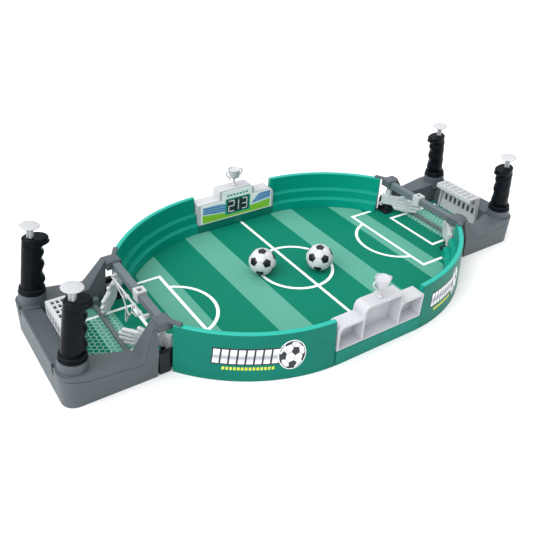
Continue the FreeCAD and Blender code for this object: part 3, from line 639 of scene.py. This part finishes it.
def trophy_cup(side):
    """Turned cup with a slim stem with a ring, and two curled ears."""
    node = f"trophy_{side}"
    low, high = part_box(node)
    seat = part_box(f"scoreboard_{side}")[1].z
    centre = Vector(((low.x + high.x) / 2, (low.y + high.y) / 2, seat))
    tall = high.z - seat
    profile = [(0.0014, -0.0024), (0.0014, 0.0), (0.0034, 0.0), (0.0035, 0.0009), (0.0030, 0.0014),
               (0.0016, 0.0021), (0.00115, 0.0034), (0.0011, 0.0070), (0.0016, 0.0076), (0.0013, 0.0082),
               (0.0024, 0.0087), (0.0040, 0.0098), (0.0052, 0.0118), (0.0060, 0.0142), (0.0066, 0.0170),
               (0.0070, tall - 0.0010), (0.0073, tall - 0.0004), (0.0072, tall), (0.0066, tall),
               (0.0064, tall - 0.0006), (0.0062, tall - 0.0014), (0.0056, tall - 0.0018)]
    bm = bmesh.new()
    lathe(bm, profile, centre)
    for flip in (-1, 1):
        ear = [(0.0064, 0.0182), (0.0086, 0.0190), (0.0104, 0.0176), (0.0104, 0.0152), (0.0088, 0.0130),
               (0.0066, 0.0112), (0.0056, 0.0092), (0.0068, 0.0078)]
        for a, b in smooth_pairs([Vector((flip * x, 0, z)) + centre for x, z in ear], 4):
            add_tapered(bm, a, b, 0.00085, 0.00085, 10, 3)
    piece = new_piece(f"trophy_cup_{side}", bm, ("white",), "root")
    apply_modifiers(piece, ("REMESH", {"mode": "VOXEL", "voxel_size": 0.00028}),
                    ("SMOOTH", {"factor": 0.5, "iterations": 3}))
    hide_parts(node)


def smooth_pairs(points, steps):
    """Neighbouring points along a Catmull-Rom curve through the given points."""
    ends = [points[0] * 2 - points[1]] + points + [points[-1] * 2 - points[-2]]
    out = []
    for p0, p1, p2, p3 in zip(ends, ends[1:], ends[2:], ends[3:]):
        for i in range(steps):
            t = i / steps
            out.append(0.5 * ((2 * p1) + (p2 - p0) * t + (2 * p0 - 5 * p1 + 4 * p2 - p3) * t * t
                              + (3 * p1 - p0 - 3 * p2 + p3) * t ** 3))
    out.append(points[-1])
    return list(zip(out, out[1:]))


# Keepers' hands

# Each finger's root and tip: the distance from the hand's pin, and the height
FINGERS = (((0.0220, 0.0130), (0.0355, 0.0126)), ((0.0220, 0.0171), (0.0395, 0.0168)),
           ((0.0220, 0.0212), (0.0400, 0.0214)), ((0.0210, 0.0250), (0.0365, 0.0256)))


def glove(quarter, sx, sy):
    """A moulded keeper's glove: flared cuff, cushioned palm, thumb and four ridged fingers."""
    node = f"hand_{quarter}"
    hub_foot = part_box(node)[0].z + 0.0072

    def flat(a, b, d):
        return Vector((a, d, b))

    bm = bmesh.new()
    for (r0, z0), (r1, z1) in FINGERS:
        add_tapered(bm, (r0, 0, z0), (r1, 0, z1), 0.0024, 0.0020)
        knuckle = r0 + (r1 - r0) * 0.45
        add_tapered(bm, (knuckle - 0.0012, 0, z0), (knuckle + 0.0012, 0, (z0 + z1) / 2), 0.0025, 0.0025)
    add_tapered(bm, (0.0110, 0, 0.0262), (0.0215, 0, 0.0306), 0.0026, 0.0021)
    palm = [(0.0015, 0.0178), (0.0060, 0.0172), (0.0095, 0.0122), (0.0235, 0.0110), (0.0260, 0.0130),
            (0.0262, 0.0240), (0.0240, 0.0268), (0.0150, 0.0288), (0.0015, 0.0292)]
    add_prism(bm, palm, -0.0023, 0.0023, flat)
    for z in (0.0145, 0.0185, 0.0225):
        add_tapered(bm, (0.0105, 0, z), (0.0225, 0, z), 0.0028, 0.0026)
    cuff = rounded_rectangle(-0.0075, 0.0045, 0.0178, 0.0298, 0.0012)
    add_prism(bm, cuff, -0.0024, 0.0024, flat)
    band = rounded_rectangle(-0.0078, -0.0058, 0.0178, 0.0302, 0.0008)
    add_prism(bm, band, -0.0028, 0.0028, flat)
    piece = new_piece(f"keeper_glove_{quarter}", bm, ("glove",), node)
    apply_modifiers(piece, ("REMESH", {"mode": "VOXEL", "voxel_size": 0.00036}),
                    ("SMOOTH", {"factor": 0.5, "iterations": 5}))
    hub = bmesh.new()
    hub.from_mesh(piece.data)
    lathe(hub, [(0.0016, 0.0), (0.0026, 0.0), (0.0028, 0.0003), (0.0028, 0.0189), (0.0026, 0.0192),
                (0.0016, 0.0192)], Vector((0, 0, hub_foot)), 48)
    at_rest = Matrix.Translation((*PIVOT, 0)) @ Matrix.Rotation(HAND_REST, 4, "Z")
    place = Matrix.Diagonal((sx, sy, 1, 1)) @ at_rest
    bmesh.ops.transform(hub, matrix=place, verts=hub.verts)
    bmesh.ops.recalc_face_normals(hub, faces=hub.faces)
    hub.to_mesh(piece.data)
    hub.free()
    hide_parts(node)


# Net trim on the left crossbar

def net_trim():
    """Rod with three square beads and slack strands that sag in soft curves."""
    low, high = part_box("net_trim_left")
    x = high.x - 0.0044
    top = 0.0386
    lean = 0.12

    def along_bar(a, b, d):
        return Vector((d, a, b))

    bm = bmesh.new()
    add_tapered(bm, (x, -0.0345, top), (x, 0.0385, top), 0.0011, 0.0011, 16, 4)
    for y in (-0.0330, 0.0370):
        clip = rounded_rectangle(y - 0.0014, y + 0.0014, top - 0.0009, high.z, 0.0006)
        add_prism(bm, clip, x - 0.0006, high.x, along_bar)
    for y in (0.003, -0.012, -0.024):
        bead = rounded_rectangle(y - 0.0023, y + 0.0023, top - 0.0018, top + 0.0018, 0.0007)
        add_prism(bm, bead, x - 0.0022, x + 0.0010, along_bar)
    strands = (((0.0330, top), (0.0240, 0.0350), (0.0120, 0.0310), (0.0052, 0.0262), (-0.0015, 0.0220),
                (-0.0060, 0.0272), (-0.0095, top)),
               ((0.0052, 0.0262), (0.0053, 0.0150), (0.0038, 0.0112), (0.0016, 0.0145), (-0.0015, 0.0220)),
               ((-0.0060, 0.0272), (-0.0120, 0.0296), (-0.0170, 0.0304), (-0.0240, top)),
               ((0.0130, top), (0.0118, 0.0350), (0.0105, 0.0304)))
    for strand in strands:
        for a, b in smooth_pairs([Vector((x - lean * (top - z), y, z)) for y, z in strand], 5):
            add_tapered(bm, a, b, 0.00078, 0.00078, 10, 3)
    piece = new_piece("net_trim", bm, ("button",), "root")
    apply_modifiers(piece, ("REMESH", {"mode": "VOXEL", "voxel_size": 0.0003}),
                    ("SMOOTH", {"factor": 0.5, "iterations": 3}))
    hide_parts("net_trim_left")


# Return springs inside the handles

def return_spring(quarter, sx):
    """A wire coil with closed ends, as tall as the CAD spring it replaces."""
    node = f"return_spring_{quarter}"
    low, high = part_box(node)
    axis = Vector((-sx * math.sin(HANDLE_LEAN), 0, math.cos(HANDLE_LEAN)))
    side = axis.cross(Vector((0, 1, 0)))
    drop = SPRING_COIL_R * math.sin(HANDLE_LEAN) + SPRING_WIRE_R
    middle = (low + high) / 2
    half = ((high.z - low.z) / 2 - drop) / math.cos(HANDLE_LEAN)
    start = middle - axis * half
    closed = SPRING_WIRE_R * 2.1
    points = []
    for i in range(SPRING_TURNS * SPRING_STEPS + 1):
        turn = i / SPRING_STEPS
        share = min(max((turn - 1) / (SPRING_TURNS - 2), 0.0), 1.0)
        rise = closed * (min(turn, 1.0) + max(turn - SPRING_TURNS + 1, 0.0)) + 2 * (half - closed) * share
        a = 2 * math.pi * turn
        outward = side * math.cos(a) + Vector((0, 1, 0)) * math.sin(a)
        points.append(start + axis * rise + outward * SPRING_COIL_R)
    bm = bmesh.new()
    add_wire(bm, points, axis, SPRING_WIRE_R)
    piece = new_piece(f"coil_{quarter}", bm, ("steel",), "root")
    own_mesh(piece)
    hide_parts(node)


def add_wire(bm, points, axis, radius, around=10):
    """A round wire along points that wind about an axis."""
    rings = []
    for i, point in enumerate(points):
        along = (points[min(i + 1, len(points) - 1)] - points[max(i - 1, 0)]).normalized()
        across = along.cross(axis).normalized()
        up = across.cross(along)
        rings.append([bm.verts.new(point + (across * math.cos(a) + up * math.sin(a)) * radius)
                      for a in circle_angles(around)])
    add_skin(bm, rings)
    bm.faces.new(rings[0])
    bm.faces.new(rings[-1])


# Printed labels on the scoreboards

SEGMENTS = {"1": "bc", "2": "abged", "3": "abgcd"}


def label_place(side):
    """Where a printed shape lies on a scoreboard's pitch face; depth is how proud it is."""
    low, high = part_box(f"score_label_{side}")
    if side == "back":
        return lambda a, b, d: Vector((a, low.y - d, b))
    return lambda a, b, d: Vector((-a, high.y + d, b))


def digit_outlines(digit, a, b, width, height, thick):
    """The seven-segment strokes of one digit, whose lower left corner is at (a, b)."""
    mid = b + height / 2
    gap = thick * 0.2
    strokes = {
        "a": (a + gap, a + width - gap, b + height - thick, b + height),
        "d": (a + gap, a + width - gap, b, b + thick),
        "g": (a + gap, a + width - gap, mid - thick / 2, mid + thick / 2),
        "b": (a + width - thick, a + width, mid + gap, b + height - gap),
        "c": (a + width - thick, a + width, b + gap, mid - gap),
        "e": (a, a + thick, b + gap, mid - gap),
    }
    return [rounded_rectangle(*strokes[s], thick * 0.35, 3) for s in SEGMENTS[digit]]


def label_print(side):
    """The printed card in layers: grass, stands, a teal frame, the display with its digits, and dashes."""
    place = label_place(side)

    def layer(name, key, outlines, depth):
        bm = bmesh.new()
        for outline in outlines:
            add_prism(bm, outline, depth, depth + INK_THICK, place)
        new_piece(f"label_{name}_{side}", bm, (key,), "root", smooth=False)

    grass = [(-0.0460, 0.0174), (0.0460, 0.0174), (0.0460, 0.0280), (0.0180, 0.0254), (-0.0150, 0.0240),
             (-0.0460, 0.0272)]
    layer("grass", "lime", [grass], 0.00002)
    left_stand = [(-0.0456, 0.0280), (-0.0150, 0.0248), (-0.0150, 0.0352), (-0.0235, 0.0370),
                  (-0.0450, 0.0370)]
    right_stand = [(0.0186, 0.0272), (0.0460, 0.0292), (0.0460, 0.0388), (0.0298, 0.0388)]
    layer("stands", "stand", [left_stand, right_stand], 0.00002)
    rows = []
    for i in range(3):
        b = 0.0290 + 0.0030 * i
        rows.append([(-0.0452, b), (-0.0152, b - 0.0024), (-0.0152, b - 0.0010), (-0.0452, b + 0.0014)])
    for i in range(3):
        a = 0.0206 + 0.0040 * i
        b = 0.0282 + 0.0036 * i
        e = 0.0318 + 0.0025 * i
        rows.append([(a, b), (0.0458, e), (0.0458, e + 0.0015), (a + 0.0014, b + 0.0014)])
    layer("rows", "stand_dark", rows, 0.00008)
    layer("frame", "teal", [rounded_rectangle(-0.0160, 0.0176, 0.0206, 0.0410, 0.0018)], 0.00014)
    layer("display", "display", [rounded_rectangle(-0.0138, 0.0154, 0.0224, 0.0393, 0.0010)], 0.0002)
    digits = []
    for digit, a, wide in (("2", -0.0122, 0.0084), ("1", 0.0004, 0.0018), ("3", 0.0064, 0.0072)):
        short = 0.0012 if digit == "1" else 0.0
        digits += digit_outlines(digit, a, 0.0236 + short / 2, wide, 0.0146 - short, 0.0012)
    layer("digits", "digit", digits, 0.00026)
    dashes = [rounded_rectangle(-0.0140 + 0.0042 * i, -0.0110 + 0.0042 * i, 0.0438, 0.0459, 0.0006, 3)
              for i in range(7)]
    layer("caption", "teal", dashes, 0.00008)


# Badges on the outside of the two front walls

def wall_place(sx, sy, start, sense):
    """(run along the wall, height, depth) to a point on a wall's outside; the run starts at an angle."""
    def place(a, b, d):
        radius = OUTER_R_FOOT + (OUTER_R_RIM - OUTER_R_FOOT) * b / RIM_Z + d
        angle = start + sense * a / OUTER_R_FOOT
        return Vector((sx * (WALL_CENTRE[0] + radius * math.sin(angle)),
                       sy * (WALL_CENTRE[1] + radius * math.cos(angle)), b))
    return place


def heights_at(outline, a):
    """Where an upright line at a crosses a convex outline: the lowest and the highest place."""
    found = []
    for (a0, b0), (a1, b1) in zip(outline, outline[1:] + outline[:1]):
        if min(a0, a1) <= a <= max(a0, a1):
            share = (a - a0) / (a1 - a0) if abs(a1 - a0) > 1e-9 else 0.0
            found.append(b0 + (b1 - b0) * share)
            if abs(a1 - a0) <= 1e-9:
                found.append(b1)
    return min(found), max(found)


def add_curved(bm, outline, low, high, place, step=0.0012):
    """A thin convex print on a curved wall, in upright strips that follow the curve."""
    first = min(a for a, _ in outline)
    last = max(a for a, _ in outline)
    count = max(1, math.ceil((last - first) / step))
    cuts = {first + (last - first) * i / count for i in range(1, count)} | {a for a, _ in outline}
    columns = []
    for a in sorted(cuts):
        b0, b1 = heights_at(outline, a)
        corners = ((b0, low), (b0, high), (b1, high), (b1, low))
        columns.append([bm.verts.new(place(a, b, d)) for b, d in corners])
    for left, right in zip(columns, columns[1:]):
        for i in range(3):
            bm.faces.new((left[i], right[i], right[i + 1], left[i + 1]))
    bm.faces.new(columns[0])
    bm.faces.new(columns[-1])
    bmesh.ops.remove_doubles(bm, verts=bm.verts, dist=0.000002)


def slanted(a, b, wide, tall, margin=0.0):
    """A block that leans to the right, with a margin all round."""
    lean = 0.1 * (tall + 2 * margin)
    return [(a - margin, b - margin), (a + wide + margin, b - margin),
            (a + wide + margin + lean, b + tall + margin), (a - margin + lean, b + tall + margin)]


def oval(centre, wide, tall, count=48):
    return [(centre[0] + wide * math.cos(a), centre[1] + tall * math.sin(a)) for a in circle_angles(count)]


def badge(name, sx, sy, start, sense, share):
    """A badge with no lettering: a row of slanted blocks that runs into a ball, over yellow dashes."""
    unscaled = wall_place(sx, sy, start, sense)

    def place(a, b, d):
        return unscaled(a * share, b, d)

    starts = [0.0073 * i for i in range(8)]
    foot, block_wide, block_tall = 0.0186, 0.0056, 0.0142
    outlines = [slanted(a, foot, block_wide, block_tall, margin=0.0013) for a in starts]
    blocks = [slanted(a, foot, block_wide, block_tall) for a in starts]
    dashes = [slanted(0.0084 + 0.0033 * i, 0.0120, 0.0022, 0.0030) for i in range(14)]
    ball_at = (0.0690, 0.0251)
    ball_wide = 0.0126
    ball_tall = 0.0150
    rim = 0.0008

    def layer(part, key, shapes, depth):
        bm = bmesh.new()
        for shape in shapes:
            add_curved(bm, shape, -0.0001, depth, place)
        new_piece(f"badge_{part}_{name}", bm, (key,), "root", smooth=False)

    layer("outline", "outline", outlines, 0.00008)
    layer("blocks", "silver", blocks, 0.00016)
    layer("underline", "yellow", dashes, 0.00008)
    layer("rim", "ink_white", [oval(ball_at, ball_wide, ball_tall)], 0.00022)
    layer("ring", "outline", [oval(ball_at, ball_wide - rim, ball_tall - rim)], 0.00028)
    white, black = roundel_panels(ball_at, ball_wide - 1.3 * rim, ball_tall - 1.3 * rim)
    layer("panels", "ink_white", white, 0.00034)
    layer("patches", "outline", black, 0.00034)


def roundel_panels(centre, wide, tall):
    """The panels of a ball seen face on, flattened to an oval: the white ones and the black ones."""
    white, black = [], []
    for ring in ball_panels(flat_on=True):
        ring = [point.normalized() for point in ring]
        middle = (sum(ring, Vector()) / len(ring)).normalized()
        if middle.z < 0.15:
            continue
        five_sided = len(ring) == 5
        shrunk = [middle.lerp(point, 1.0 if five_sided else 0.94).normalized() for point in ring]
        shown = [point for point in shrunk if point.z > 0.0]
        flat = [(centre[0] + wide * point.x, centre[1] + tall * point.y) for point in shown]
        if len(flat) > 2:
            (black if five_sided else white).append(flat)
    return white, black


# CAD nodes that stay, with better materials

NODE_MATERIALS = (("wall", "wall"), ("tray", "tray"), ("pitch_sheet", "pitch"), ("score_label", "card"),
                  ("scoreboard", "board"), ("end_base", "grey"), ("end_cover", "grey"),
                  ("crossbar_marker", "button"), ("crossbar", "grey_dark"), ("threshold", "grey_dark"),
                  ("handle", "black"), ("plunger", "button"), ("hand_bearing", "block"), ("goal", "white"),
                  ("rocker", "inner"), ("link", "inner"), ("screws", "steel"), ("pivot_pins", "steel"),
                  ("return_spring", "steel"), ("ball", "ball_white"), ("trophy", "white"), ("hand", "glove"),
                  ("net_trim", "button"))


def dress_nodes():
    for name, node in NODES.items():
        key = next(value for start, value in NODE_MATERIALS if name.startswith(start))
        node.data.materials.clear()
        node.data.materials.append(MAT[key])


# Stage, light and camera

def floor():
    bm = bmesh.new()
    bmesh.ops.create_grid(bm, x_segments=8, y_segments=8, size=4.0)
    mesh = bpy.data.meshes.new("floor")
    bm.to_mesh(mesh)
    bm.free()
    p = Paint("floor_paper")
    p.finish(linear(FLOOR_GREY), 0.8, p.bump(p.noise(400.0), 0.02, 0.0002), Specular_IOR_Level=0.15)
    mesh.materials.append(p.material)
    plane = bpy.data.objects.new("floor", mesh)
    plane.location.z = -0.0002
    bpy.context.scene.collection.objects.link(plane)


def sky():
    """A pale sky that is brighter overhead, so that upright faces are darker than level ones."""
    world = bpy.data.worlds.new("studio")
    world.use_nodes = True
    tree = world.node_tree
    parts = tree.nodes.new("ShaderNodeSeparateXYZ")
    rise = tree.nodes.new("ShaderNodeMapRange")
    rise.inputs["To Min"].default_value = SKY_LOW
    rise.inputs["To Max"].default_value = SKY_HIGH
    tree.links.new(tree.nodes.new("ShaderNodeTexCoord").outputs["Generated"], parts.inputs[0])
    tree.links.new(parts.outputs[2], rise.inputs[0])
    tree.links.new(rise.outputs[0], tree.nodes["Background"].inputs["Strength"])
    tree.nodes["Background"].inputs["Color"].default_value = (1.0, 1.0, 1.0, 1.0)
    bpy.context.scene.world = world


def studio():
    sky()
    light = bpy.data.lights.new("soft_window", "SUN")
    light.angle = SUN_SPREAD
    light.energy = SUN_STRENGTH
    lamp = bpy.data.objects.new("soft_window", light)
    lamp.rotation_euler = SUN_FROM.to_track_quat("Z", "Y").to_euler()
    bpy.context.scene.collection.objects.link(lamp)
    bpy.context.scene.view_settings.view_transform = "Standard"


def camera():
    back = Vector((math.sin(CAMERA_AZIMUTH) * math.cos(CAMERA_ELEVATION),
                   -math.cos(CAMERA_AZIMUTH) * math.cos(CAMERA_ELEVATION), math.sin(CAMERA_ELEVATION)))
    right = Vector((math.cos(CAMERA_AZIMUTH), math.sin(CAMERA_AZIMUTH), 0.0))
    up = back.cross(right)
    turned_right = right * math.cos(CAMERA_ROLL) + up * math.sin(CAMERA_ROLL)
    turned_up = up * math.cos(CAMERA_ROLL) - right * math.sin(CAMERA_ROLL)
    data = bpy.data.cameras.new("camera")
    data.lens = CAMERA_LENS
    data.sensor_width = 36.0
    data.clip_start = 0.01
    view = bpy.data.objects.new("camera", data)
    view.matrix_world = (Matrix.Translation(CAMERA_TARGET + back * CAMERA_DISTANCE)
                         @ Matrix((turned_right, turned_up, back)).transposed().to_4x4())
    bpy.context.scene.collection.objects.link(view)
    bpy.context.scene.camera = view


camera()
studio()
floor()
dress_nodes()
for count in (1, 2):
    soccer_ball(count)
for end in ("back", "front"):
    trophy_cup(end)
    label_print(end)
for quarter in QUARTERS:
    glove(*quarter)
    return_spring(quarter[0], quarter[1])
net_trim()
badge("left", -1, -1, math.radians(41.4), -1, 1.0)
badge("right", 1, -1, math.radians(8.0), 1, RIGHT_BADGE_SHARE)
